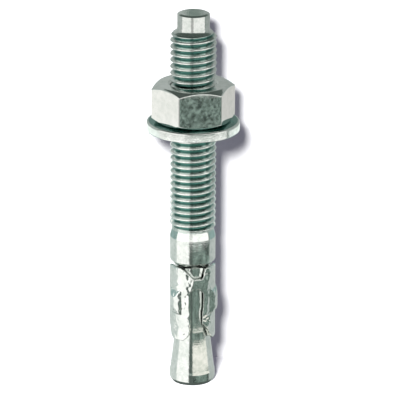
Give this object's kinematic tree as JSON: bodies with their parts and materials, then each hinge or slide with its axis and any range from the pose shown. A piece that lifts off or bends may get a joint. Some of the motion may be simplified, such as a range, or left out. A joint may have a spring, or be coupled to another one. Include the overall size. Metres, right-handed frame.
{
  "type": "wedge anchor",
  "caption": "Wedge anchor: threaded bolt with a cone end and tip, a three-leaf expansion clip round its neck, a flat washer and a hex nut.",
  "frame": {"origin": "middle of the cone end's flat face, on which the anchor stands", "axes": "+Z along the bolt's axis towards its threaded end, -Y towards the front of the clip, where one slot faces the camera, +X to the right in the picture"},
  "size_m": [0.024, 0.024, 0.1],
  "materials": {
    "bolt": "bright zinc plating with a faint green-blue tint, rolled thread, smooth turned cone",
    "clip": "bright zinc plating on bent sheet, small press marks",
    "washer": "bright zinc plating, blotchy rim",
    "nut": "bright zinc plating, satin cold-formed flats"
  },
  "bodies": {
    "bolt": {"anchor_bolt": "bolt"},
    "clip": {"expansion_clip": "clip"},
    "washer": {"flat_washer": "washer"},
    "nut": {"hex_nut": "nut"}
  },
  "joints": [
    {"name": "clip_turn", "type": "hinge", "parent": "bolt", "child": "clip", "pos_m": [0, 0, 0.0225], "axis": [0, 0, 1], "continuous": true},
    {"name": "washer_slide", "type": "slide", "parent": "bolt", "child": "washer", "axis": [0, 0, 1], "range_m": [-0.026, 0.0187]},
    {"name": "nut_turn", "type": "hinge", "parent": "washer", "child": "nut", "pos_m": [0, 0, 0.0764], "axis": [0, 0, 1], "range_deg": [-5340, 3820]}
  ],
  "couplings": [
    {"joint": "washer_slide", "follows": "nut_turn", "m_per_rad": 0.00027852}
  ]
}
